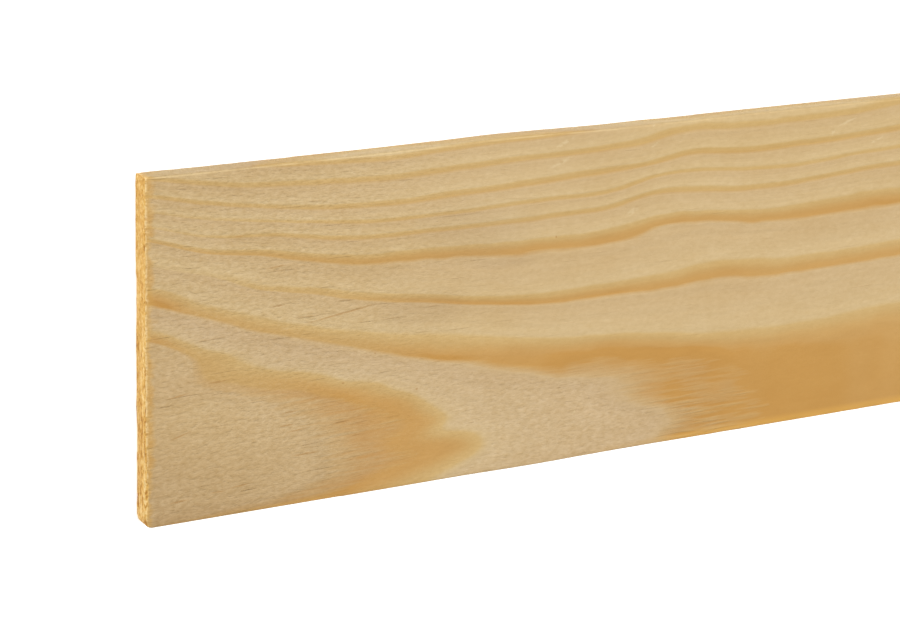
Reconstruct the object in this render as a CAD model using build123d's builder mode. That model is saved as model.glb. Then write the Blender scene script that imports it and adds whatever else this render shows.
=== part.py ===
"""A rectangular trim strip of planed softwood, lying flat on its back face.

Millimetres. X runs along the length, Y across the width and Z through the thickness. The origin is the centre
of the underside, so the face that shows in use is the upper one, at Z = THICKNESS.
"""
import os

from build123d import *

# Stock size as it is sold.
LENGTH = 1000.0
WIDTH = 80.0
THICKNESS = 5.0

# The planer's knives leave the four long arrises slightly eased.
EDGE_RADIUS = 0.7

# The saw broke fibres out of the face along the lower part of the first end.
TEAR_OUT_REACH = 22.0
TEAR_OUT_SETBACK = 1.1
TEAR_OUT_DEPTH = 0.9
TEAR_OUT_FADE = 0.25

first_end = Plane.YZ.offset(-LENGTH / 2)
lower_edge = Plane.XZ.offset(WIDTH / 2)
tear_out_top = Plane.XZ.offset(WIDTH / 2 - TEAR_OUT_REACH)


def tear_out_section(plane, share):
    """A triangle on the arris between the face and the first end, at a share of the full tear-out size."""
    corner = (-LENGTH / 2, THICKNESS)
    with BuildSketch(plane) as section:
        with BuildLine():
            Polyline(
                corner,
                (corner[0] + share * TEAR_OUT_SETBACK, corner[1]),
                (corner[0], corner[1] - share * TEAR_OUT_DEPTH),
                close=True,
            )
        make_face()
    return section.sketch


with BuildPart() as trim_strip:
    # The section stands on Z = 0 and runs from the first sawn end to the other.
    with BuildSketch(first_end) as section:
        with Locations((0, THICKNESS / 2)):
            Rectangle(WIDTH, THICKNESS)
        fillet(section.vertices(), radius=EDGE_RADIUS)
    extrude(amount=LENGTH)

    # The tear-out is deepest at the lower edge and fades along the end.
    loft(
        [tear_out_section(lower_edge, 1), tear_out_section(tear_out_top, TEAR_OUT_FADE)],
        mode=Mode.SUBTRACT,
    )

trim_strip.part.label = "trim_strip"

os.makedirs("parts", exist_ok=True)
export_step(trim_strip.part, "parts/trim_strip.step")
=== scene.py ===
"""Looks of a rectangular trim strip: bare planed pine with raised grain, lying flat on a pale floor.

The wood is worked out in millimetres: along the strip from its first sawn end, across it from its lower
edge, and deep, down from its face. The scene itself is in metres, in the part's frame.
"""
import math

import bpy
import numpy as np
from mathutils import Matrix, Vector


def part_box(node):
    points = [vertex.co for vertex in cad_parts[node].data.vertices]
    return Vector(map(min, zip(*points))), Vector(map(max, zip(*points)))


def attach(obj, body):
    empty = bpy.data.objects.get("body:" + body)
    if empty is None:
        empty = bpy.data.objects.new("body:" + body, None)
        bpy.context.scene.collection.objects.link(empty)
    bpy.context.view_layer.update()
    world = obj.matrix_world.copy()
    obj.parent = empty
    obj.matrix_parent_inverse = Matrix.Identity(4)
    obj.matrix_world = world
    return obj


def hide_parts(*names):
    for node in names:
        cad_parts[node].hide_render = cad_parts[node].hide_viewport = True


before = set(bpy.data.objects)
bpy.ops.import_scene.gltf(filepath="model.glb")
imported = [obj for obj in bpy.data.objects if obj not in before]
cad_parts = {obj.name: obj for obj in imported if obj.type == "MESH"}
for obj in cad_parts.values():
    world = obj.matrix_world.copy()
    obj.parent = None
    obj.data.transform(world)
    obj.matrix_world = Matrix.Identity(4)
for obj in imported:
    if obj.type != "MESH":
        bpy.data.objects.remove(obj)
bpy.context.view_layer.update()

NODE = "trim_strip"
MM = 0.001
low_corner, high_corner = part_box(NODE)
LENGTH, WIDTH, THICKNESS = [(high_corner[i] - low_corner[i]) / MM for i in range(3)]

# Section of the strip and the mesh that is laid over it, in millimetres, faces and degrees.
EDGE_RADIUS = 0.7
FACE_COLUMNS = 80
ARC_STEPS = 3
EDGE_STEPS = 6
SHARP_ANGLE = 42.0

# The stretch with the photographed figure, and all stretches of the strip: start, end and row spacing.
FIGURED_LENGTH = 212.0
STATION_RUNS = [
    (0.0, 2.4, 0.2),
    (2.4, 4.0, 0.4),
    (4.0, FIGURED_LENGTH, 0.9),
    (FIGURED_LENGTH, LENGTH - 4.0, 3.0),
    (LENGTH - 4.0, LENGTH, 0.5),
]

# Relief, in millimetres. The highest fibres nearly reach the stock size, and the rest lies a little below.
# The saw's marks go into the ends, and die out over a short reach.
FACE_REST = 0.12
LATEWOOD_RISE = 0.07
FUZZ_RISE = 0.025
END_REST = 0.38
END_REACH = 1.2

# The planed edges waver: how far they lie inside the stock width, the place and reach of a bulge in each,
# and the height of the waves past the bulges.
UPPER_EDGE_REST = 0.42
UPPER_BULGE = (88.0, 18.0)
UPPER_WAVE = 0.07
LOWER_EDGE_REST = 0.2
LOWER_BULGE = (97.0, 14.0)
LOWER_WAVE = 0.05
WAVES_FROM = 140.0

# Where the saw broke fibres out of the face at the first end: how far up it reaches and is at its full,
# how far back and deep it goes, and how far back and deep the arris is broken above it. The lower corner is
# worn round, with the wood above it pushed up over a reach.
TEAR_REACH = 22.0
TEAR_FULL = 13.2
TEAR_SETBACK = 1.1
TEAR_DEPTH = 0.9
SETBACK_ABOVE = 0.3
DEPTH_ABOVE = 0.25
CORNER_RADIUS = 2.0
CORNER_REACH = 6.0

# The growth rings on the face, read one by one: each line is where the dark latewood of a ring ends, in
# millimetres along and across. A number with a fraction is a place inside a ring.
RING_LINES = [
    (0, [(30, 79.6), (45, 78.8), (58, 78.2), (75, 78.7), (95, 79.0), (115, 80.5), (140, 84.0),
        (170, 83.0), (200, 85.0)]),
    (1, [(0, 79.4), (10, 77.7), (25, 75.6), (40, 74.5), (50, 74.0), (60, 73.5), (70, 73.9), (80, 73.9),
        (90, 74.2), (100, 74.4), (120, 75.2), (126, 75.5), (131, 76.3), (136, 77.2), (140, 77.4),
        (145, 77.2), (152, 76.9), (165, 76.9), (180, 77.1), (190, 77.6), (200, 78.7)]),
    (2, [(0, 75.6), (10, 73.5), (20, 71.6), (30, 70.2), (40, 68.9), (50, 68.1), (60, 67.7), (70, 67.8),
        (80, 68.0), (90, 68.0), (100, 68.7), (110, 69.2), (120, 69.7), (130, 70.4), (135, 71.3),
        (140, 71.8), (145, 71.4), (152, 70.8), (160, 70.6), (170, 70.8), (180, 71.0), (190, 71.3),
        (200, 72.0)]),
    (3, [(0, 72.3), (10, 70.2), (20, 68.4), (40, 65.8), (60, 64.0), (80, 63.8), (100, 64.3),
        (120, 65.0), (130, 67.2), (145, 67.1), (160, 66.0), (172, 65.8), (180, 66.4), (200, 67.4)]),
    (4, [(0, 69.0), (10, 66.2), (20, 64.6), (28, 64.2), (40, 62.2), (50, 60.9), (70, 60.3), (100, 60.1),
        (112, 60.5), (120, 61.0), (123, 62.0), (127, 62.8), (135, 62.9), (143, 62.4), (150, 61.6),
        (160, 61.2), (170, 61.4), (180, 62.0), (200, 63.1)]),
    (5, [(0, 66.0), (5, 64.6), (10, 62.9), (15, 61.5), (20, 60.7), (30, 59.1), (40, 57.0), (50, 55.2),
        (60, 54.6), (80, 53.4), (90, 52.5), (100, 52.5), (110, 52.3), (120, 52.5), (125, 53.2),
        (130, 54.6), (135, 55.2), (140, 55.2), (145, 54.8), (150, 54.1), (155, 53.4), (160, 52.9),
        (165, 52.6), (170, 52.5), (180, 52.7), (200, 53.2)]),
    (5.67, [(30, 53.1), (40, 51.4), (50, 49.2), (60, 47.4), (80, 44.2), (92, 42.9), (100, 42.7),
        (120, 43.2), (135, 44.0), (147, 45.0), (160, 44.2), (170, 43.5), (185, 43.5), (200, 44.2)]),
    (6, [(0, 60.5), (10, 57.8), (20, 54.6), (30, 51.4), (35, 50.3), (40, 49.5), (50, 47.1), (60, 45.1),
        (70, 43.6), (80, 42.0), (90, 40.5), (100, 39.7), (110, 39.4), (120, 39.6), (130, 39.4),
        (138, 39.6), (146, 40.1), (153, 39.9), (160, 39.1), (167, 38.9), (180, 39.1), (200, 39.6)]),
    (6.67, [(0, 56.0), (5, 54.8), (10, 52.8), (20, 48.8), (30, 45.5), (40, 42.8), (50, 40.6),
        (60, 38.6), (70, 36.9), (80, 35.3), (90, 33.4), (100, 31.9), (120, 30.2), (130, 29.3),
        (140, 28.0), (155, 26.7), (180, 26.4), (200, 27.8)]),
    (6.8, [(90, 31.4), (100, 30.1), (108, 29.1), (115, 28.8), (125, 28.2), (135, 26.6), (145, 25.0),
        (155, 24.2), (165, 24.1), (180, 23.8), (200, 25.3)]),
    (6.92, [(95, 28.2), (105, 26.8), (115, 26.4), (125, 25.6), (135, 24.1), (145, 22.8), (155, 21.3),
        (165, 20.3), (180, 19.3), (200, 19.6)]),
    (6.95, [(172, 14), (180, 8), (192, 12), (206, 9), (206, 1)]),
    (6.97, [(112, 24.4), (125, 23.6), (135, 22.4), (145, 20.5), (152, 18.3), (158, 15.8), (163, 12.0),
        (166, 8.0), (167, 2.0)]),
    (7, [(0, 51.8), (5, 50.2), (10, 48.5), (15, 46.7), (20, 44.9), (25, 42.9), (30, 41.4), (35, 40.2),
        (40, 38.7), (50, 35.8), (60, 32.7), (70, 30.1), (75, 29.1), (80, 28.2), (85, 27.0), (90, 25.6),
        (98, 23.9), (104, 23.0), (112, 22.5), (120, 21.9), (126, 21.2), (133, 19.9), (138, 18),
        (140.5, 16), (143.5, 14), (145.5, 12), (146.5, 10), (148.5, 8), (148.5, 4), (146.5, 1.5)]),
    (7.012, [(104, 22.2), (112, 21.3), (120, 20.8), (126, 20.2), (129.5, 18), (130, 15), (131, 12.5),
        (136.5, 10), (142, 8), (142.3, 5), (139, 2)]),
    (7.03, [(104, 21.5), (112, 20.3), (120, 19.9), (124.5, 19.4), (126.5, 17.5), (127.3, 15),
        (128.6, 12), (134.5, 10), (139, 8), (140, 5), (137.5, 2)]),
    (7.09, [(105, 20.2), (112, 18.9), (118, 18.2), (120.5, 16.3), (121.5, 13.8), (124.5, 11.6),
        (128, 10), (133.5, 8.5), (135.5, 6.5), (135.8, 4.5), (132, 1.2)]),
    (7.35, [(95, 19), (102, 12), (110, 5)]),
    (7.69, [(0, 46.5), (5, 44.8), (10, 42.3), (15, 40.0), (20, 38.6), (25, 35.8), (30, 33.6),
        (35, 32.3), (40, 31.4), (45, 29.7), (50, 27.8), (55, 27.0), (59, 26.0), (61.5, 24.2),
        (65.5, 22.9), (68.3, 21.3), (71.5, 19.4), (74, 17.4), (75.5, 15.5), (74.7, 13.6), (75, 12.5),
        (78.5, 11.8), (82.8, 10.8), (85.4, 8.4), (84, 5.2), (80.8, 3.6), (76.5, 1.8), (73, 0.3)]),
    (7.86, [(80, 7.9), (72, 14.5), (64, 21.0), (52, 25.2)]),
    (8, [(0, 43.6), (5, 41.8), (9, 39.8), (12.5, 36.3), (14, 32.9), (16, 32.2), (20, 31.5), (25, 29.9),
        (30, 28.2), (38, 27.0), (46, 24.0), (53, 19.5), (57, 15.0), (58, 10.0), (57, 5.0), (48, 2.4),
        (35, 1.0), (20, 0.5), (5, 0.3)]),
    (8.1, [(11.5, 30.6), (16, 29.6), (20, 28.9), (25, 27.2), (29, 26.5), (33, 24.0), (39, 21.0),
        (42.5, 17.0), (45, 12.0), (46, 8.0), (42, 4.4), (30, 2.2), (20, 1.6), (10, 1.2), (2, 1.0)]),
    (8.25, [(17, 28), (24, 24), (29, 19), (32, 14), (32, 9), (28, 4)]),
    (8.36, [(8, 24), (10, 10), (22, 12)]),
]
# The readings come out a little too large and a little off: their scale and shift to the strip itself.
READING_SCALE = (0.984, 0.995)
READING_SHIFT = (0.3, 0.2)

# How far one reading of the rings speaks for its surroundings, in millimetres.
RING_REACH_ALONG = 42.0
RING_REACH_ACROSS = 13.0

# The even board that the readings are laid over: the ring at its lower edge, how many rings lie above it,
# how they crowd and over what height, and a long pointed arch at the lower edge, in rings, with its start,
# length and height. The board begins to wander within the join's length.
LOWEST_RING = 6.93
RINGS_ABOVE = 6.0
RING_CROWDING = 2.6
RINGS_HEIGHT = 79.0
LONG_ARCH = 2.3
LONG_ARCH_START = 245.0
LONG_ARCH_LENGTH = 690.0
LONG_ARCH_HEIGHT = 30.0
JOIN_LENGTH = 90.0

# How many rings a millimetre of depth adds, how much less that is at the upper edge, and how it varies.
RING_DIP = 0.19
RING_DIP_FALL = 0.10
RING_DIP_WAVE = 0.05

# How far the rings waver, in rings: more in the narrow upper rings than in the wide lower ones.
WAVER_RINGS = (4.0, 5.5, 7.0)
WAVER = (0.045, 0.03, 0.018)

# Strength of each ring's latewood, from ring 0 on, and the part of a ring over which it darkens.
LATEWOOD_STRENGTH = [0.5, 0.5, 0.62, 0.44, 0.48, 0.93, 0.93, 1.0, 0.95, 0.9, 0.8]
LATEWOOD_START = 0.66
LATEWOOD_START_ABOVE = 0.68
LATEWOOD_START_RINGS = (4.0, 5.0)
LATEWOOD_FULL = 0.98

# Latewood fades out over a part of the next ring, which starts a little before the line. The fade is wider
# in the upper rings and widest inside the lowest arch. Its edge wanders along the fibres, most inside the
# arch, and past the arch less so above a height.
FADE_START = 0.03
FADE = 0.09
FADE_ABOVE = 0.16
FADE_IN_ARCH = 0.21
FADE_PAST_ARCH = 0.12
WANDER = 0.05
WANDER_IN_ARCH = 0.28
WANDER_PAST_ARCH = 0.16
WANDER_ACROSS = (8.0, 13.0)

# Where each region of the figure begins or ends, as ranges of rings and of millimetres along: inside the
# lowest arch, past its tip, the upper rings, and the pale wood round the arch.
ARCH_RINGS = (7.45, 7.7)
ARCH_ALONG = (10.0, 22.0)
PAST_ARCH_RINGS = (6.6, 6.9)
PAST_ARCH_ALONG = (95.0, 115.0)
UPPER_RINGS_END = (4.3, 4.9)
PALE_RINGS = (7.0, 7.15)
PALE_RINGS_END = (7.6, 7.75)
PALE_END = (135.0, 150.0)

# How steeply the fibres rise at the first end, at the lower and upper edge, and how soon they straighten.
FIBRE_SLOPES = (0.09, -0.10)
FIBRE_REACH = 70.0

# The plane tore the fibres up most near the first end and in the pale wood, and polished the rest.
ROUGH_ALONG = (25.0, 110.0)
ROUGH_LEAST = 0.3
ROUGH_PALE = 0.75
POLISHED_ALONG = (95.0, 150.0)

# Painted shade: the wood's colour is darker towards the first end, and most at its lower corner.
END_SHADE_LENGTH = 75.0
END_SHADE_SHARE = 0.27
END_SHADE_CORNER = 70.0
END_SHADE_CORNER_SHARE = 0.7

# Marks on the face: along, across, length, width and slant in degrees. Pale flecks of torn grain, thin dark
# scratches and soft grey smudges, and how far the outlines of each are moved about.
TORN_FLECKS = [(102.6, 77.1, 8.0, 1.2, 25.0), (102.1, 72.7, 8.0, 1.2, 22.0),
               (182.4, 75.0, 9.0, 0.9, 20.0), (178.2, 72.9, 2.4, 1.4, 70.0),
               (191.2, 69.5, 6.0, 0.9, 18.0), (122.0, 59.0, 5.0, 2.0, 25.0),
               (127.2, 74.4, 2.4, 0.8, 25.0), (126.7, 78.8, 1.6, 0.9, 80.0),
               (108.5, 11.7, 2.2, 1.0, 60.0)]
SCRATCHES = [(47.1, 43.8, 26.0, 0.6, 8.0), (8.2, 5.6, 6.0, 0.7, 3.0), (17.3, 6.4, 5.5, 0.5, 0.0),
             (22.5, 7.0, 8.0, 0.5, 6.0), (38.9, 12.1, 9.0, 0.7, 1.5), (34.0, 19.5, 5.5, 0.6, 0.0),
             (36.7, 18.0, 8.0, 0.5, 4.0), (34.7, 22.5, 6.0, 0.5, 4.0), (52.0, 17.6, 5.5, 0.5, 5.0),
             (47.5, 18.4, 6.0, 0.5, 4.0), (51.0, 14.7, 6.0, 0.5, 2.0), (8.4, 20.8, 7.0, 0.5, 16.0),
             (8.0, 30.0, 7.0, 0.6, 9.0), (17.5, 32.0, 6.5, 0.6, 0.0), (31.0, 56.4, 7.0, 0.5, 4.0),
             (31.5, 47.5, 4.0, 0.5, 2.0), (21.9, 64.3, 3.5, 0.5, 0.0), (47.7, 27.5, 0.9, 0.7, 0.0),
             (66.4, 23.4, 0.9, 0.7, 0.0), (55.6, 33.4, 0.8, 0.7, 0.0), (101.7, 55.3, 0.7, 1.0, 0.0)]
SMUDGES = [(80.0, 59.5, 44.0, 22.0, 0.0), (88.0, 51.5, 26.0, 6.0, 0.0), (67.0, 42.0, 30.0, 12.0, -12.0)]
FLECK_SWAY = 1.2
SCRATCH_SWAY = 0.5
SMUDGE_SWAY = 10.0

# Noises in the planed wood: waves in a millimetre along, across and deep, detail, roughness, distortion.
FIBRE_NOISES = {
    "streak": ((0.08, 1.0, 1.0), 4.0, 0.6),
    "fibre": ((0.22, 1.2, 1.2), 2.0, 0.5),
    "fuzz": ((0.8, 1.05, 1.05), 2.0, 0.5),
    "pits": ((0.5, 0.65, 0.65), 2.0, 0.5),
    "curl": ((0.45, 1.3, 1.3), 2.0, 0.5, 1.5),
    "stroke": ((0.09, 1.7, 1.7), 1.5, 0.5),
}
BROAD_NOISES = {
    "cloud": ((0.03, 0.08, 0.08), 2.0, 0.5),
    "mottle": ((0.14, 0.3, 0.3), 2.0, 0.5),
}

# Shades of the wood as they show on the lit face, 0 to 255: earlywood by how far through its ring it is,
# latewood by its strength, the sawn end by its ridges, and then single marks and painted light.
EARLYWOOD_SHADES = [(0.15, (206, 176, 129)), (0.45, (209, 180, 132)), (0.72, (213, 185, 136))]
LATEWOOD_SHADES = [(0.0, (211, 181, 126)), (0.25, (209, 175, 115)), (0.55, (206, 169, 107)),
                   (0.85, (203, 160, 94)), (0.95, (202, 156, 88)), (1.0, (199, 149, 75))]
SAWN_SHADES = [(0.36, (180, 122, 50)), (0.44, (220, 168, 84)), (0.51, (235, 188, 103)),
               (0.60, (252, 216, 148))]
SAWN_LATEWOOD_SHADE = (212, 154, 76)
STROKE_SHADE = (176, 132, 74)
SCRATCH_SHADE = (178, 134, 76)
SQUIGGLE_SHADE = (228, 204, 160)
TORN_SHADE = (228, 206, 162)
# Painted light: a warm glow along the lower arrises.
LOWER_GLOW_SHADE = (224, 170, 82)
# Painted highlight along the upper arrises.
UPPER_HIGHLIGHT_SHADE = (228, 202, 150)
MARGIN_SHADE = (212, 166, 88)
MARGIN_MOTTLE_SHADE = (194, 145, 76)
MARGIN_FLECK_SHADE = (236, 204, 140)
# Painted highlight along the arris of a sawn end.
END_HIGHLIGHT_SHADE = (250, 218, 158)

# Gloss of the planed and the sawn wood, and the depth of their finest relief in millimetres.
PLANED_GLOSS = 0.22
SAWN_GLOSS = 0.15
PLANED_RELIEF = 0.32
SAWN_RELIEF = 0.4

# Tints that the wood's colour is multiplied by.
PATCH_TINTS = [(0.35, (0.96, 0.94, 0.90, 1.0)), (0.65, (1.0, 1.005, 1.02, 1.0))]
FADED_TINT = (0.95, 0.955, 1.1)
PALE_TINT = (0.98, 0.985, 1.05)
UPPER_TINT = (1.0, 0.995, 0.965)
# Painted shade on the upper narrow edge.
UPPER_EDGE_SHADE_TINT = (0.86, 0.865, 0.87)
# Painted shade towards the first end.
END_SHADE_TINT = (0.80, 0.75, 0.70)
SMUDGE_TINT = (0.93, 0.92, 0.925)
SHADED_TINT = (0.62, 0.5, 0.2)
LIT_TINT = (1.38, 1.5, 1.8)

# Camera, in metres, degrees, pixels and, for its sensor, millimetres. It is the photograph's view with the
# strip laid on its back.
CAMERA_PLACE = (-0.7208, 0.1908, 0.5299)
CAMERA_AIM = (-0.4256, 0.0, 0.005)
CAMERA_ROLL = 1.77
FOCAL_PIXELS = 2800.0
FRAME_PIXELS = 900.0
SENSOR_WIDTH = 36.0
CLIP_START = 0.01

# How brightly the lights show a white surface that faces up, how much the floor glows, and how bright the
# surroundings are as a light and as seen.
LIGHT_LEVEL = 1.35
FLOOR_GLOW = 0.45
WORLD_LIGHT = 0.5
WORLD_SEEN = 1.0

# Half the floor's side in metres, and how far it lies below the strip in millimetres.
FLOOR_HALF = 4.0
FLOOR_GAP = 0.2

# Soft lamps: name, place, aim and size in metres, and power in watts.
SOFTBOXES = [
    ("overhead", (0.05, 0.2, 1.25), (-0.1, 0.0, 0.0), (1.4, 1.0), 12.9),
    ("edge_light", (-0.25, 1.0, 0.9), (-0.25, 0.0, 0.0), (1.6, 0.7), 9.0),
    ("end_light", (-1.6, 0.25, 0.3), (-0.5, 0.0, 0.0), (0.8, 0.4), 4.0),
]

# Rows that the strip's length is cut into for baking, and each row's share of the picture's height.
BAKE_ROWS = 2
BAKE_FRONT_HEIGHT = 0.31
BAKE_BACK_HEIGHT = 0.16
BAKE_END_HEIGHT = 0.026
BAKE_GAP = 0.004

random_grain = np.random.default_rng(41)


def smooth_step(value, start, end):
    """0 before start, 1 after end and a smooth rise between them."""
    share = np.clip((value - start) / (end - start), 0.0, 1.0)
    return share * share * (3.0 - 2.0 * share)


def soft_noise(first, second, first_cell, second_cell):
    """Seeded noise from -1 to 1 over two directions, with its own cell size in each."""
    a = (first - first.min()) / first_cell
    b = (second - second.min()) / second_cell
    lattice = random_grain.uniform(-1.0, 1.0, (int(a.max()) + 2, int(b.max()) + 2))
    i, j = a.astype(int), b.astype(int)
    s = smooth_step(a - i, 0.0, 1.0)
    t = smooth_step(b - j, 0.0, 1.0)
    near = lattice[i, j] * (1 - t) + lattice[i, j + 1] * t
    far = lattice[i + 1, j] * (1 - t) + lattice[i + 1, j + 1] * t
    return near * (1 - s) + far * s


def plain_rings(along, across):
    """Ring number of an even board: straight lines above and a long pointed arch near the lower edge."""
    wander = smooth_step(along, FIGURED_LENGTH, FIGURED_LENGTH + JOIN_LENGTH)
    height = np.maximum(across + wander * (1.6 * np.sin(along / 83 + 0.4) + 0.7 * np.sin(along / 29)), 0.0)
    arch = LONG_ARCH * np.sin(np.pi * np.clip((along - LONG_ARCH_START) / LONG_ARCH_LENGTH, 0, 1)) ** 2
    ripple = 0.12 * wander * np.sin(along / 23 + across / 9)
    low = np.exp(-(height / LONG_ARCH_HEIGHT) ** 2)
    return LOWEST_RING + (arch + ripple) * low - RINGS_ABOVE * (height / RINGS_HEIGHT) ** RING_CROWDING


def shared(first, second):
    """How much the rings at one set of places say about another set, from 1 at the same place down to 0."""
    gap_along = (first[:, None, 0] - second[None, :, 0]) / RING_REACH_ALONG
    gap_across = (first[:, None, 1] - second[None, :, 1]) / RING_REACH_ACROSS
    gap = math.sqrt(3) * np.hypot(gap_along, gap_across)
    return (1 + gap) * np.exp(-gap)


def ring_numbers(along, across, deep):
    """Ring number at each place in the wood, from the readings on the face and the even board."""
    listed = [point for _, points in RING_LINES for point in points]
    readings = np.array(listed) * READING_SCALE + READING_SHIFT
    numbers = np.array([ring for ring, points in RING_LINES for _ in points], float)
    missing = numbers - plain_rings(readings[:, 0], readings[:, 1])
    weights = np.linalg.solve(shared(readings, readings) + 1e-3 * np.eye(len(readings)), missing)
    places = np.stack([along, across], 1)
    rings = plain_rings(along, across)
    figured = along < FIGURED_LENGTH + 6 * RING_REACH_ALONG
    rings[figured] += shared(places[figured], readings) @ weights
    dip = RING_DIP - RING_DIP_FALL * across / WIDTH + RING_DIP_WAVE * np.sin(along / 61 + across / 17)
    waver = 0.4 * soft_noise(along, across, 11.0, 5.0) + 0.5 * soft_noise(along, across, 4.0, 3.0)
    return rings + dip * deep + np.interp(rings, WAVER_RINGS, WAVER) * waver


def arch_shares(rings, along):
    """1 inside the lowest arch and 0 outside, and 1 past its tip and 0 elsewhere."""
    inside = smooth_step(rings, *ARCH_RINGS) * smooth_step(along, *ARCH_ALONG)
    past = smooth_step(rings, *PAST_ARCH_RINGS) * smooth_step(along, *PAST_ARCH_ALONG) * (1 - inside)
    return inside, past


def fade_width(rings, along):
    """The part of a ring over which the last ring's latewood fades out, at each place."""
    inside, past = arch_shares(rings, along)
    plain = np.interp(rings, UPPER_RINGS_END, (FADE_ABOVE, FADE))
    return plain + (FADE_IN_ARCH - plain) * inside + (FADE_PAST_ARCH - plain) * past


def edge_wander(rings, along, across):
    """How far the fade wanders along the fibres, in rings. Past the arch it is most near the lower edge."""
    inside, past = arch_shares(rings, along)
    past = past * (1.0 - 0.75 * smooth_step(across, *WANDER_ACROSS))
    return WANDER + (WANDER_IN_ARCH - WANDER) * inside + (WANDER_PAST_ARCH - WANDER) * past


def latewood_strength(rings, along):
    """How dark the latewood is. It weakens near the first end, but not in the lower rings at the cut."""
    strength = np.interp(rings + 0.15, range(len(LATEWOOD_STRENGTH)), LATEWOOD_STRENGTH)
    upper = 0.68 + 0.32 * smooth_step(along, 5, 70) - 0.3 * smooth_step(along, 125, 145) * (rings < 1.4)
    thin = 0.35 + 0.65 * smooth_step(along, 5, 55) - 0.3 * smooth_step(along, 120, 140) * (rings < 3.4)
    middle = 0.1 + 0.9 * smooth_step(along, 6, 80)
    lower = 1.0 - 0.33 * smooth_step(along, 4, 14) + 0.33 * smooth_step(along, 42, 75)
    lowest = 0.95 - 0.35 * smooth_step(along, 2, 12) + 0.4 * smooth_step(along, 16, 48)
    kinds = [(rings > 2.4) & (rings < 4.4), rings < 5.4, rings < 6.4, rings < 7.4]
    return strength * np.select(kinds, [thin, upper, middle, lower], lowest)


def painted_end_shade(along, across):
    """How much painted shade the wood gets: most at the first end's lower corner, 0 past the shaded length.
    """
    end = np.clip(1.0 - along / END_SHADE_LENGTH, 0.0, 1.0)
    corner = 1.0 - smooth_step(np.hypot(along, 2.5 * across), 0.0, END_SHADE_CORNER)
    return END_SHADE_SHARE * end + END_SHADE_CORNER_SHARE * corner


def fibre_line(along, across):
    """The place across the strip where the fibre at each place starts, at the first end."""
    slope = np.interp(across, (0.0, WIDTH), FIBRE_SLOPES)
    return across - slope * FIBRE_REACH * (1 - np.exp(-along / FIBRE_REACH))


def pale_wood(rings, along):
    """1 in the pale wood round the lowest arch and 0 elsewhere."""
    in_rings = smooth_step(rings, *PALE_RINGS) * (1 - smooth_step(rings, *PALE_RINGS_END))
    return in_rings * (1 - smooth_step(along, *PALE_END))


def roughness(rings, along):
    """How far the plane tore the fibres up: most near the first end, and in the pale wood."""
    rough = 1.0 - (1.0 - ROUGH_LEAST) * smooth_step(along, *ROUGH_ALONG)
    return np.maximum(rough, ROUGH_PALE * pale_wood(rings, along))


def coarseness(rings, along):
    """How coarsely the wood is speckled: most in the pale wood past the arch, and not at the first end."""
    plain = 0.55 * smooth_step(along, 60, 110)
    return np.maximum(plain, pale_wood(rings, along) * smooth_step(along, 60, 95))


def section_loop():
    """Points across and deep round the section, from the lower arris over the face and back underneath."""
    turns = np.linspace(0, math.pi / 2, ARC_STEPS + 1)[1:]
    face = np.linspace(EDGE_RADIUS, WIDTH - EDGE_RADIUS, FACE_COLUMNS + 1)
    upper = [(WIDTH - EDGE_RADIUS * (1 - math.sin(t)), EDGE_RADIUS * (1 - math.cos(t))) for t in turns]
    straight = np.linspace(EDGE_RADIUS, THICKNESS - EDGE_RADIUS, EDGE_STEPS + 1)[1:]
    edge = upper + [(WIDTH, d) for d in straight] + [(a, THICKNESS - d) for a, d in reversed(upper[:-1])]
    half = [(a, 0.0) for a in face] + edge
    return np.array(half + [(WIDTH - a, THICKNESS - d) for a, d in half])


def stations():
    """Places along the strip where the section is repeated, closest at the ends and in the figure."""
    runs = [np.linspace(a, b, round((b - a) / step) + 1)[:-1] for a, b, step in STATION_RUNS]
    return np.append(np.concatenate(runs), LENGTH)


def strip_places():
    """Vertices of the plain strip, the faces between them, and how many faces are planed."""
    loop = section_loop()
    rows = stations()
    count = len(loop)
    sides = np.array([(row, a, d) for row in rows for a, d in loop])
    ring = np.arange(count)
    after = np.roll(ring, -1)
    faces = []
    for row in range(len(rows) - 1):
        base = row * count
        corners = [base + ring, base + after, base + count + after, base + count + ring]
        faces += np.stack(corners, 1).tolist()
    planed = len(faces)

    depth_steps = count // 2 - FACE_COLUMNS
    caps = []
    for row, station in ((0, 0.0), (len(rows) - 1, LENGTH)):
        grid = np.zeros((FACE_COLUMNS + 1, depth_steps + 1), int)
        base = row * count
        grid[:, 0] = base + np.arange(FACE_COLUMNS + 1)
        grid[-1, :] = base + FACE_COLUMNS + np.arange(depth_steps + 1)
        grid[::-1, -1] = base + count // 2 + np.arange(FACE_COLUMNS + 1)
        grid[0, 1:-1] = base + count - np.arange(1, depth_steps)
        inner_across = loop[1:FACE_COLUMNS, 0]
        inner_deep = loop[FACE_COLUMNS + 1:FACE_COLUMNS + depth_steps, 1]
        first_new = len(sides) + sum(len(c) for c in caps)
        grid[1:-1, 1:-1] = first_new + np.arange((FACE_COLUMNS - 1) * (depth_steps - 1)).reshape(
            FACE_COLUMNS - 1, depth_steps - 1)
        caps.append(np.array([(station, a, d) for a in inner_across for d in inner_deep]))
        quads = np.stack([grid[:-1, :-1], grid[:-1, 1:], grid[1:, 1:], grid[1:, :-1]], -1).reshape(-1, 4)
        faces += (quads if row == 0 else quads[:, ::-1]).tolist()
    return np.concatenate([sides] + caps), np.array(faces), planed


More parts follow.
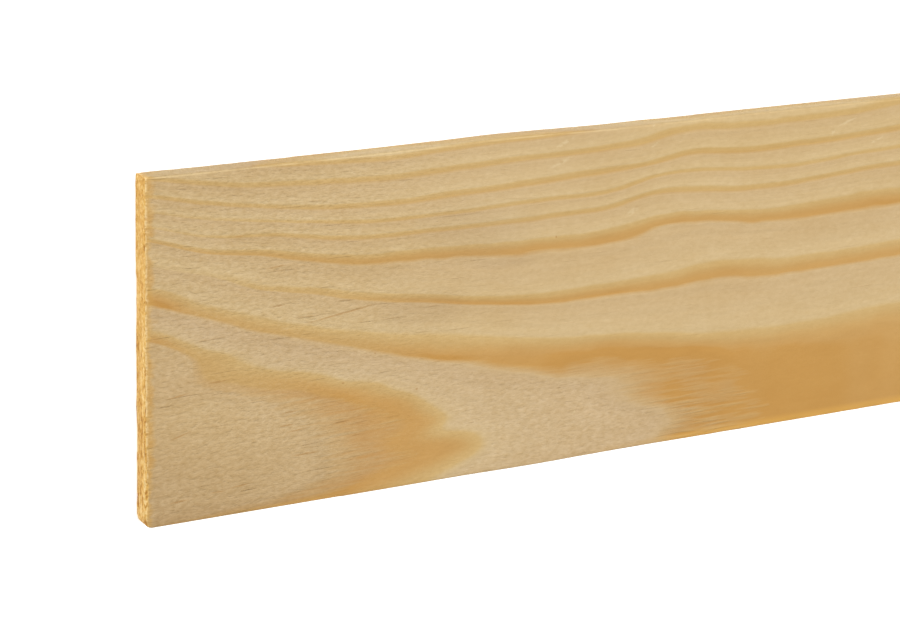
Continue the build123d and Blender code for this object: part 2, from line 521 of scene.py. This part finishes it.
def bake_layout(plain, faces, planed):
    """Places on the bake picture for each corner of each face: the face and edges, the back, and the ends.

    The rows lie one above the other, with the two ends side by side at the bottom.
    """
    loop = section_loop()
    count = len(loop)
    steps = np.hypot(*(np.roll(loop, -1, 0) - loop).T)
    run = np.concatenate([[0.0], np.cumsum(steps)])
    back_start, back_end = run[count // 2], run[count // 2 + FACE_COLUMNS]
    edge_run = back_start - run[FACE_COLUMNS]

    side = np.arange(planed) % count
    corner_along = plain[faces[:planed], 0]
    on_back = (side >= count // 2) & (side < count // 2 + FACE_COLUMNS)
    shift = np.where(side >= count // 2 + FACE_COLUMNS, -run[-1], 0.0)
    corner_run = np.stack([run[side], run[side + 1], run[side + 1], run[side]], 1) + shift[:, None]
    row_length = LENGTH / BAKE_ROWS
    row = np.minimum(corner_along.mean(1) // row_length, BAKE_ROWS - 1)[:, None]

    room = 1.0 - 2 * BAKE_GAP
    across_picture = BAKE_GAP + room * (corner_along - row * row_length) / row_length
    front_share = (corner_run + edge_run) / (back_start + edge_run)
    back_share = (corner_run - back_start) / (back_end - back_start)
    base = BAKE_END_HEIGHT + 2 * BAKE_GAP
    front = base + row * (BAKE_FRONT_HEIGHT + BAKE_GAP) + front_share * BAKE_FRONT_HEIGHT
    base += BAKE_ROWS * (BAKE_FRONT_HEIGHT + BAKE_GAP)
    back = base + row * (BAKE_BACK_HEIGHT + BAKE_GAP) + back_share * BAKE_BACK_HEIGHT
    sides = np.stack([across_picture, np.where(on_back[:, None], back, front)], -1)

    end = plain[faces[planed:]]
    second = (end[:, :, 0].mean(1) > LENGTH / 2)[:, None]
    half = 0.5 - 1.5 * BAKE_GAP
    ends = np.stack([BAKE_GAP + second * (half + BAKE_GAP) + half * end[:, :, 1] / WIDTH,
                     BAKE_GAP + BAKE_END_HEIGHT * end[:, :, 2] / THICKNESS], -1)
    return np.concatenate([sides.reshape(-1, 2), ends.reshape(-1, 2)])


def bulge(along, place_and_reach):
    """1 at a place along the strip, falling off towards 0 over its reach."""
    place, reach = place_and_reach
    return np.exp(-((along - place) / reach) ** 2)


def tear_out(along, across):
    """How far back and how deep the saw broke the face's fibres out at the first end, for each place."""
    tear = 1 - smooth_step(across, TEAR_FULL, TEAR_REACH)
    rough = 0.75 + 0.35 * soft_noise(across, along, 1.7, 50.0) + 0.2 * soft_noise(across, along, 0.7, 50.0)
    setback = (SETBACK_ABOVE + (TEAR_SETBACK - SETBACK_ABOVE) * tear) * rough
    depth = (DEPTH_ABOVE + (TEAR_DEPTH - DEPTH_ABOVE) * tear) * rough
    return setback, depth


def shape_wood(plain, rings, tear_setback, tear_depth):
    """The plain strip with its raised grain, wavy edges, sawn ends and the tear-out."""
    along, across, deep = plain.T.copy()
    late = smooth_step((rings + FADE_START) % 1.0, LATEWOOD_START - 0.05, LATEWOOD_FULL - 0.06)
    fuzz = soft_noise(along, across, 2.2, 0.8) * (0.5 + 0.5 * np.sin(rings * 3))
    drop = np.clip(FACE_REST - LATEWOOD_RISE * late - FUZZ_RISE * fuzz, 0.0, None)

    middle = np.clip(across, EDGE_RADIUS, WIDTH - EDGE_RADIUS)
    core = np.clip(deep, EDGE_RADIUS, THICKNESS - EDGE_RADIUS)
    across = across - (across - middle) / EDGE_RADIUS * drop
    deep = deep - (deep - core) / EDGE_RADIUS * drop

    waves = along > WAVES_FROM
    upper_rest = UPPER_EDGE_REST * (1.0 - bulge(along, UPPER_BULGE))
    upper_rest += UPPER_WAVE * np.sin(along / 31) * waves
    lower_rest = LOWER_EDGE_REST * (1.0 - bulge(along, LOWER_BULGE))
    lower_rest += LOWER_WAVE * np.sin(along / 37) * waves
    across = lower_rest + across * (WIDTH - upper_rest - lower_rest) / WIDTH

    corner = np.clip(CORNER_RADIUS - along, 0.0, CORNER_RADIUS)
    corner_cut = CORNER_RADIUS - np.sqrt(CORNER_RADIUS ** 2 - corner ** 2)
    across = across + corner_cut * (1 - smooth_step(across, 0.0, CORNER_REACH))

    bevel = tear_depth * np.clip(1 - along / tear_setback, 0.0, 1.0)
    deep = np.where(deep < THICKNESS / 2, np.maximum(deep, bevel), deep)

    streak = 0.6 * soft_noise(across, plain[:, 2], 7.0, 0.8)
    streak += 0.4 * soft_noise(across, plain[:, 2], 1.6, 0.5)
    sawn = END_REST * (0.5 + 0.5 * streak)
    first = np.clip(1 - along / END_REACH, 0, 1)
    second = np.clip(1 - (LENGTH - along) / END_REACH, 0, 1)
    along = along + sawn * first - sawn * second
    return np.stack([np.clip(along, 0, LENGTH), np.clip(across, 0, WIDTH), np.clip(deep, 0, THICKNESS)], 1)


def to_frame(places):
    """Along, across and deep in millimetres to the part's frame in metres."""
    return np.stack([low_corner[0] + places[:, 0] * MM, low_corner[1] + places[:, 1] * MM,
                     high_corner[2] - places[:, 2] * MM], 1)


def put_values(mesh, name, values):
    """Stores one number at each vertex, for the material to read."""
    mesh.attributes.new(name, "FLOAT", "POINT").data.foreach_set("value", values.astype(np.float32))


def make_strip(planed_material, sawn_material):
    """The strip as one closed mesh."""
    plain, faces, planed = strip_places()
    along, across, deep = plain.T
    rings = ring_numbers(along, across, deep)
    tear_setback, tear_depth = tear_out(along, across)
    places = shape_wood(plain, rings, tear_setback, tear_depth)
    mesh = bpy.data.meshes.new("trim_strip_wood")
    mesh.from_pydata(to_frame(places).tolist(), [], faces.tolist())
    mesh.materials.append(planed_material)
    mesh.materials.append(sawn_material)
    mesh.polygons.foreach_set("material_index", [0] * planed + [1] * (len(faces) - planed))
    mesh.polygons.foreach_set("use_smooth", [True] * len(faces))
    mesh.set_sharp_from_angle(angle=math.radians(SHARP_ANGLE))
    mesh.uv_layers.new(name="OFBake").uv.foreach_set("vector", bake_layout(plain, faces, planed).ravel())
    values = {
        "ring": rings,
        "start": np.interp(rings, LATEWOOD_START_RINGS, (LATEWOOD_START_ABOVE, LATEWOOD_START)),
        "fade": fade_width(rings, along),
        "wander": edge_wander(rings, along, across),
        "latewood": latewood_strength(rings, along),
        "pale": pale_wood(rings, along),
        "across": across,
        "polished": smooth_step(along, *POLISHED_ALONG),
        "cut": np.minimum(along, LENGTH - along) / tear_setback,
        # Painted shade towards the first end and its lower corner.
        "end_shade": painted_end_shade(along, across),
        "rough": roughness(rings, along),
        "coarse": coarseness(rings, along),
        "fibre_line": fibre_line(along, across),
    }
    for name, numbers in values.items():
        put_values(mesh, name, numbers)
    strip = bpy.data.objects.new("trim_strip_wood", mesh)
    bpy.context.collection.objects.link(strip)
    return strip


def tone(red, green, blue):
    """Base colour, linear, of a shade as it shows on the lit face, given as 0 to 255."""
    linear = []
    for value in (red, green, blue):
        share = value / 255
        light = share / 12.92 if share <= 0.04045 else ((share + 0.055) / 1.055) ** 2.4
        linear.append(light / LIGHT_LEVEL)
    return (*linear, 1.0)


def add_node(tree, kind, inputs=None, **settings):
    """A new node with its settings, its inputs set to values or linked to other nodes' outputs."""
    made = tree.nodes.new(kind)
    for name, value in settings.items():
        setattr(made, name, value)
    for key, value in (inputs or {}).items():
        if isinstance(value, bpy.types.NodeSocket):
            tree.links.new(value, made.inputs[key])
        else:
            made.inputs[key].default_value = value
    return made


def math_of(tree, operation, first, second=0.0):
    """One arithmetic step on two numbers."""
    return add_node(tree, "ShaderNodeMath", {0: first, 1: second}, operation=operation).outputs[0]


def product(tree, first, *others):
    """Numbers multiplied together."""
    for other in others:
        first = math_of(tree, "MULTIPLY", first, other)
    return first


def total(tree, first, *others):
    """Numbers added together."""
    for other in others:
        first = math_of(tree, "ADD", first, other)
    return first


def scaled(tree, value, factor, plus=0.0):
    """A number times a factor, plus another number."""
    made = add_node(tree, "ShaderNodeMath", {0: value, 1: factor, 2: plus}, operation="MULTIPLY_ADD")
    return made.outputs[0]


def mixed(tree, share, first, second, blend="MIX"):
    """Two colours mixed by a share."""
    inputs = {0: share, 6: first, 7: second}
    return add_node(tree, "ShaderNodeMix", inputs, data_type="RGBA", blend_type=blend).outputs[2]


def tinted(tree, colour, tint):
    """A colour multiplied by another."""
    return mixed(tree, 1.0, colour, tint, "MULTIPLY")


def washed(tree, colour, share, tint):
    """A colour multiplied by a tint, as far as a share says."""
    return tinted(tree, colour, mixed(tree, share, (1.0, 1.0, 1.0, 1.0), (*tint, 1.0)))


def stepped(tree, value, start, end):
    """0 at start and 1 at end, smooth between."""
    inputs = {"Value": value, "From Min": start, "From Max": end}
    return add_node(tree, "ShaderNodeMapRange", inputs, interpolation_type="SMOOTHSTEP").outputs[0]


def fading(tree, value, start, end):
    """1 at start and 0 at end, smooth between."""
    return math_of(tree, "SUBTRACT", 1.0, stepped(tree, value, start, end))


def grain_noise(tree, place, per_mm, detail=3.0, roughness=0.55, distortion=0.0):
    """Noise with its own number of waves in each millimetre along, across and through the wood."""
    stretch = {0: place, 1: tuple(value / MM for value in per_mm)}
    inputs = {
        "Vector": add_node(tree, "ShaderNodeVectorMath", stretch, operation="MULTIPLY").outputs[0],
        "Scale": 1.0,
        "Detail": detail,
        "Roughness": roughness,
        "Distortion": distortion,
    }
    return add_node(tree, "ShaderNodeTexNoise", inputs).outputs["Fac"]


def value_at(tree, name):
    """A number stored at the mesh's vertices."""
    return add_node(tree, "ShaderNodeAttribute", attribute_name=name).outputs["Fac"]


def ramp_of(tree, value, stops):
    """Colours along a value, as (position, colour) stops."""
    made = add_node(tree, "ShaderNodeValToRGB", {"Fac": value})
    while len(made.color_ramp.elements) < len(stops):
        made.color_ramp.elements.new(0.5)
    for element, (position, colour) in zip(made.color_ramp.elements, stops):
        element.position = position
        element.color = colour
    return made.outputs["Color"]


def shade_ramp(tree, value, shades):
    """Shades of wood along a value, as (position, shade) stops."""
    return ramp_of(tree, value, [(position, tone(*shade)) for position, shade in shades])


def shaded(tree, colour, share, shade):
    """A colour mixed with a shade of wood by a share."""
    return mixed(tree, share, colour, tone(*shade))


def new_wood(name, gloss):
    """An empty wood material: its tree, its shader and the place in the part's frame."""
    material = bpy.data.materials.new(name)
    material.use_nodes = True
    tree = material.node_tree
    shader = tree.nodes["Principled BSDF"]
    shader.inputs["Specular IOR Level"].default_value = gloss
    place = add_node(tree, "ShaderNodeTexCoord").outputs["Object"]
    return material, tree, shader, place


def add_bump(tree, shader, height, strength, depth):
    """Fine relief from a height, with its depth in millimetres."""
    inputs = {"Height": height, "Strength": strength, "Distance": depth * MM}
    normal = add_node(tree, "ShaderNodeBump", inputs).outputs["Normal"]
    tree.links.new(normal, shader.inputs["Normal"])


def end_gap(tree, place):
    """Millimetres from the nearer sawn end."""
    x = add_node(tree, "ShaderNodeSeparateXYZ", {0: place}).outputs["X"]
    return scaled(tree, math_of(tree, "ABSOLUTE", x), -1 / MM, LENGTH / 2)


def ring_share(tree, streak):
    """How far through its ring the wood is, how much of it is latewood, and how much of that fades out."""
    phase = math_of(tree, "FRACT", scaled(tree, value_at(tree, "ring"), 1.0, FADE_START))
    fade = value_at(tree, "fade")
    wander = product(tree, scaled(tree, streak, 1.0, -0.5), value_at(tree, "wander"))
    rise = stepped(tree, phase, value_at(tree, "start"), LATEWOOD_FULL)
    fall = fading(tree, total(tree, phase, wander), 0.0, fade)
    late = product(tree, math_of(tree, "MAXIMUM", rise, fall), value_at(tree, "latewood"))
    gone = fading(tree, phase, fade, scaled(tree, fade, 1.0, 0.2))
    past = product(tree, stepped(tree, phase, 0.0, 0.05), gone)
    return phase, late, past


def growth_noise(tree, place, per_ring, per_mm, detail):
    """Noise along the growth rings, with its own number of waves in a ring and in a millimetre along."""
    x = add_node(tree, "ShaderNodeSeparateXYZ", {0: place}).outputs["X"]
    inputs = {0: scaled(tree, value_at(tree, "ring"), per_ring), 1: scaled(tree, x, per_mm / MM)}
    spot = add_node(tree, "ShaderNodeCombineXYZ", inputs).outputs[0]
    inputs = {"Vector": spot, "Scale": 1.0, "Detail": detail}
    return add_node(tree, "ShaderNodeTexNoise", inputs).outputs["Fac"]


def sawn_margin(tree, place, colour):
    """The colour near a sawn end: warm and mottled, torn at the cut, with a painted highlight along the
    arris.
    """
    gap = end_gap(tree, place)
    cut = value_at(tree, "cut")
    wander = grain_noise(tree, place, (0.3, 0.35, 0.35), 3.0, 0.6)
    speckle = grain_noise(tree, place, (1.1, 1.0, 1.0), 2.0, 0.6)
    warm = fading(tree, gap, 0.4, scaled(tree, wander, 6.5, -0.6))
    colour = shaded(tree, colour, scaled(tree, warm, 0.8), MARGIN_SHADE)
    mottle = product(tree, warm, stepped(tree, wander, 0.5, 0.62))
    colour = shaded(tree, colour, scaled(tree, mottle, 0.5), MARGIN_MOTTLE_SHADE)
    fleck = product(tree, warm, stepped(tree, speckle, 0.56, 0.68))
    colour = shaded(tree, colour, scaled(tree, fleck, 0.45), MARGIN_FLECK_SHADE)
    torn = fading(tree, cut, 0.6, 1.0)
    colour = mixed(tree, torn, colour, sawn_colour(tree, place))
    # Painted highlight along the arris at the cut.
    near = fading(tree, gap, 0.35, scaled(tree, wander, 1.6, 0.2))
    end_highlight = product(tree, stepped(tree, cut, 0.5, 0.95), near, stepped(tree, speckle, 0.38, 0.54))
    return shaded(tree, colour, scaled(tree, end_highlight, 0.8), END_HIGHLIGHT_SHADE)


def sawn_colour(tree, place):
    """Sawn end grain: warm, with wavy ridges and gaps along the cut, deepest near the lower edge."""
    ridge = grain_noise(tree, place, (1.0, 0.16, 0.75), 3.0, 0.6, 1.2)
    fuzz = grain_noise(tree, place, (2.0, 1.3, 2.4), 2.0, 0.6)
    deep = scaled(tree, fading(tree, value_at(tree, "across"), 22.0, 52.0), 0.7, 0.45)
    ridge = product(tree, math_of(tree, "SUBTRACT", ridge, 0.5), deep)
    share = total(tree, scaled(tree, ridge, 0.8, 0.5), scaled(tree, fuzz, 0.5, -0.25))
    return shade_ramp(tree, share, SAWN_SHADES)


def marks(tree, place, listed, crumple, sway):
    """1 inside the listed marks on the face and 0 outside, moved by a noise, over a sway in millimetres."""
    centred = {0: crumple, 1: (0.5, 0.5, 0.5)}
    offset = add_node(tree, "ShaderNodeVectorMath", centred, operation="SUBTRACT").outputs[0]
    moved = {0: offset, 1: (sway * MM, sway * MM, 0.0), 2: place}
    place = add_node(tree, "ShaderNodeVectorMath", moved, operation="MULTIPLY_ADD").outputs[0]
    marked = None
    for along, across, length, width, slant in listed:
        inputs = {
            "Vector": place,
            "Location": to_frame(np.array([(along, across, 0.0)]))[0],
            "Rotation": (0.0, 0.0, math.radians(slant)),
            "Scale": (length / 2 * MM, width / 2 * MM, THICKNESS / 2 * MM),
        }
        inside = add_node(tree, "ShaderNodeMapping", inputs, vector_type="TEXTURE").outputs[0]
        far = add_node(tree, "ShaderNodeVectorMath", {0: inside}, operation="LENGTH").outputs["Value"]
        mark = fading(tree, far, 0.3, 1.0)
        marked = mark if marked is None else math_of(tree, "MAXIMUM", marked, mark)
    return marked


def planed_noises(tree, place):
    """The noises in planed wood by name: fine ones that lie along the fibres, and broad ones."""
    spot = add_node(tree, "ShaderNodeSeparateXYZ", {0: place}).outputs
    inputs = {0: spot["X"], 1: scaled(tree, value_at(tree, "fibre_line"), MM), 2: spot["Z"]}
    lie = add_node(tree, "ShaderNodeCombineXYZ", inputs).outputs[0]
    noises = {name: grain_noise(tree, lie, *settings) for name, settings in FIBRE_NOISES.items()}
    for name, settings in BROAD_NOISES.items():
        noises[name] = grain_noise(tree, place, *settings)
    return noises


def ring_colour(tree, phase, late, past):
    """Earlywood that turns into latewood and back at each ring."""
    early = shade_ramp(tree, phase, EARLYWOOD_SHADES)
    dark = washed(tree, shade_ramp(tree, late, LATEWOOD_SHADES), past, FADED_TINT)
    return mixed(tree, stepped(tree, late, 0.0, 0.25), early, dark)


def weathered(tree, place, colour, noises):
    """The colour with soft patches, faint lines along the rings, tints, painted shade towards the first
    end, and smudges.
    """
    patches = total(tree, scaled(tree, noises["cloud"], 0.5), scaled(tree, noises["mottle"], 0.5))
    colour = tinted(tree, colour, ramp_of(tree, patches, PATCH_TINTS))
    lines = growth_noise(tree, place, 13.0, 0.03, 3.0)
    colour = tinted(tree, colour, scaled(tree, lines, 0.14, 0.935))
    upper = product(tree, stepped(tree, value_at(tree, "across"), 58.0, 76.0), value_at(tree, "polished"))
    colour = washed(tree, colour, value_at(tree, "pale"), PALE_TINT)
    colour = washed(tree, colour, upper, UPPER_TINT)
    # Painted shade: darker towards the first end, most at its lower corner.
    colour = washed(tree, colour, value_at(tree, "end_shade"), END_SHADE_TINT)
    return washed(tree, colour, marks(tree, place, SMUDGES, noises["cloud"], SMUDGE_SWAY), SMUDGE_TINT)


def fibred(tree, place, colour, noises, rough, late):
    """The colour with fibres, scratches, curled fuzz and torn flecks. Wood in shade is warmer."""
    fuzz, curl = noises["fuzz"], noises["curl"]
    fibre = product(tree, scaled(tree, noises["fibre"], 0.2, -0.097), rough)
    torn_up = product(tree, total(tree, scaled(tree, fuzz, 0.46, -0.225), fibre), rough)
    pits = product(tree, scaled(tree, noises["pits"], 0.27, -0.135), value_at(tree, "coarse"))
    pits = product(tree, pits, scaled(tree, late, -0.8, 1.0))
    shade = total(tree, scaled(tree, torn_up, 1.0, 0.5), pits)
    colour = tinted(tree, colour, mixed(tree, shade, (*SHADED_TINT, 1.0), (*LIT_TINT, 1.0)))

    strokes = scratched(tree, noises, rough)
    colour = shaded(tree, colour, scaled(tree, strokes, 0.38), STROKE_SHADE)
    scratches = marks(tree, place, SCRATCHES, curl, SCRATCH_SWAY)
    scratches = product(tree, scratches, stepped(tree, fuzz, 0.2, 0.45))
    colour = shaded(tree, colour, scaled(tree, scratches, 0.6), SCRATCH_SHADE)
    squiggle = fading(tree, math_of(tree, "ABSOLUTE", math_of(tree, "SUBTRACT", curl, 0.5)), 0.0, 0.03)
    squiggle = product(tree, squiggle, stepped(tree, noises["cloud"], 0.42, 0.6), rough)
    colour = shaded(tree, colour, scaled(tree, squiggle, 0.3), SQUIGGLE_SHADE)
    flecks = marks(tree, place, TORN_FLECKS, curl, FLECK_SWAY)
    flecks = product(tree, flecks, stepped(tree, fuzz, 0.35, 0.55))
    return shaded(tree, colour, scaled(tree, flecks, 0.4), TORN_SHADE)


def scratched(tree, noises, rough):
    """1 in the fine scratches along the fibres and 0 elsewhere, weaker on smooth wood."""
    return product(tree, stepped(tree, noises["stroke"], 0.66, 0.8), rough)


def arris_light_and_shade(tree, colour, streak, late):
    """The colour with painted light and shade: a warm glow along the lower arrises, a darker upper narrow
    edge and a pale highlight along the upper arris.
    """
    across = value_at(tree, "across")
    polished = value_at(tree, "polished")
    # Painted light: a warm glow along the lower arrises, strongest on the polished wood and the latewood.
    lower_glow = fading(tree, across, 0.5, scaled(tree, polished, 1.4, 1.4))
    lower_glow = product(tree, lower_glow, scaled(tree, streak, 0.7, 0.5), scaled(tree, polished, 0.65, 0.3))
    lower_glow = product(tree, lower_glow, scaled(tree, late, 0.7, 0.3))
    colour = shaded(tree, colour, lower_glow, LOWER_GLOW_SHADE)
    # Painted shade: the upper narrow edge is darkened.
    upper_edge_shade = stepped(tree, across, WIDTH - 0.4, WIDTH - 0.1)
    colour = washed(tree, colour, upper_edge_shade, UPPER_EDGE_SHADE_TINT)
    # Painted highlight: a pale line along the upper arris.
    from_upper_highlight = math_of(tree, "ABSOLUTE", scaled(tree, across, 1.0, 0.45 - WIDTH))
    ridge = product(tree, fading(tree, from_upper_highlight, 0.05, 0.25), stepped(tree, streak, 0.35, 0.6))
    return shaded(tree, colour, product(tree, ridge, scaled(tree, polished, -0.45, 0.6)), UPPER_HIGHLIGHT_SHADE)


def planed_height(tree, noises, rough, late):
    """Fine relief of the planed wood: torn fibres and fuzz, with raised latewood and sunken scratches."""
    fuzz = total(tree, scaled(tree, noises["fibre"], 0.4), scaled(tree, noises["fuzz"], 0.8))
    fuzz = product(tree, total(tree, fuzz, scaled(tree, noises["curl"], 0.6)), rough)
    sunken = scaled(tree, scratched(tree, noises, rough), -0.35)
    return total(tree, fuzz, sunken, scaled(tree, late, 0.9))


def planed_wood():
    """Planed pine, with its figure, fibres, marks, and painted light and shade."""
    material, tree, shader, place = new_wood("planed_pine", PLANED_GLOSS)
    noises = planed_noises(tree, place)
    phase, late, past = ring_share(tree, noises["streak"])
    late = product(tree, late, scaled(tree, growth_noise(tree, place, 0.9, 0.035, 2.0), 0.24, 0.88))
    rough = product(tree, value_at(tree, "rough"), scaled(tree, late, -0.6, 1.0))
    colour = ring_colour(tree, phase, late, past)
    colour = weathered(tree, place, colour, noises)
    colour = fibred(tree, place, colour, noises, rough, late)
    colour = arris_light_and_shade(tree, colour, noises["streak"], late)
    colour = sawn_margin(tree, place, colour)
    tree.links.new(colour, shader.inputs["Base Color"])
    tree.links.new(scaled(tree, late, -0.12, 0.7), shader.inputs["Roughness"])
    add_bump(tree, shader, planed_height(tree, noises, rough, late), 1.0, PLANED_RELIEF)
    return material


def sawn_wood():
    """The sawn ends."""
    material, tree, shader, place = new_wood("sawn_pine", SAWN_GLOSS)
    late = stepped(tree, math_of(tree, "FRACT", value_at(tree, "ring")), LATEWOOD_START, LATEWOOD_FULL)
    colour = shaded(tree, sawn_colour(tree, place), scaled(tree, late, 0.3), SAWN_LATEWOOD_SHADE)
    tree.links.new(colour, shader.inputs["Base Color"])
    fuzz = grain_noise(tree, place, (2.0, 0.7, 2.4), 3.0, 0.65)
    tree.links.new(scaled(tree, fuzz, 0.2, 0.65), shader.inputs["Roughness"])
    add_bump(tree, shader, fuzz, 0.6, SAWN_RELIEF)
    return material


def floor_material():
    """A matt white floor that glows a little, as a light table does."""
    material = bpy.data.materials.new("pale_floor")
    material.use_nodes = True
    tree = material.node_tree
    shader = tree.nodes["Principled BSDF"]
    shader.inputs["Base Color"].default_value = (0.96, 0.96, 0.96, 1.0)
    shader.inputs["Roughness"].default_value = 0.9
    shader.inputs["Specular IOR Level"].default_value = 0.0
    shader.inputs["Emission Color"].default_value = (1.0, 1.0, 1.0, 1.0)
    shader.inputs["Emission Strength"].default_value = FLOOR_GLOW
    return material


def make_floor():
    """A wide pale floor under the strip."""
    mesh = bpy.data.meshes.new("floor")
    corners = [(FLOOR_HALF * x, FLOOR_HALF * y, 0.0) for x, y in ((-1, -1), (1, -1), (1, 1), (-1, 1))]
    mesh.from_pydata(corners, [], [(0, 1, 2, 3)])
    mesh.materials.append(floor_material())
    floor = bpy.data.objects.new("floor", mesh)
    floor.location.z = low_corner[2] - FLOOR_GAP * MM
    bpy.context.collection.objects.link(floor)
    return floor


def aimed(place, aim, roll=0.0, up=(0.0, 1.0, 0.0)):
    """A matrix at a place that looks at another, with its top towards up and then rolled."""
    back = (Vector(place) - Vector(aim)).normalized()
    right = Vector(up).cross(back).normalized()
    turn = Matrix((right, back.cross(right), back)).transposed()
    turn = turn @ Matrix.Rotation(math.radians(roll), 3, "Z")
    return Matrix.Translation(place) @ turn.to_4x4()


def make_camera():
    """The camera at the photograph's viewing angle."""
    data = bpy.data.cameras.new("camera")
    data.sensor_width = SENSOR_WIDTH
    data.lens = FOCAL_PIXELS * SENSOR_WIDTH / FRAME_PIXELS
    data.clip_start = CLIP_START
    camera = bpy.data.objects.new("camera", data)
    camera.matrix_world = aimed(CAMERA_PLACE, CAMERA_AIM, CAMERA_ROLL)
    bpy.context.collection.objects.link(camera)
    bpy.context.scene.camera = camera


def add_softbox(name, place, aim, size, power):
    """A large soft lamp, itself unseen."""
    data = bpy.data.lights.new(name, "AREA")
    data.shape = "RECTANGLE"
    data.size, data.size_y = size
    data.energy = power
    lamp = bpy.data.objects.new(name, data)
    lamp.matrix_world = aimed(place, aim, up=(0.0, 0.6, 0.8))
    lamp.visible_camera = False
    bpy.context.collection.objects.link(lamp)


def make_light():
    """Soft studio light from above, from the upper edge's side and from the first end, in a white world."""
    world = bpy.data.worlds.new("studio")
    world.use_nodes = True
    background = world.node_tree.nodes["Background"]
    background.inputs["Color"].default_value = (1.0, 1.0, 1.0, 1.0)
    seen = add_node(world.node_tree, "ShaderNodeLightPath").outputs["Is Camera Ray"]
    strength = scaled(world.node_tree, seen, WORLD_SEEN - WORLD_LIGHT, WORLD_LIGHT)
    world.node_tree.links.new(strength, background.inputs["Strength"])
    bpy.context.scene.world = world
    for softbox in SOFTBOXES:
        add_softbox(*softbox)
    bpy.context.scene.view_settings.view_transform = "Standard"


strip = make_strip(planed_wood(), sawn_wood())
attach(strip, "root")
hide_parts(NODE)
make_floor()
make_camera()
make_light()
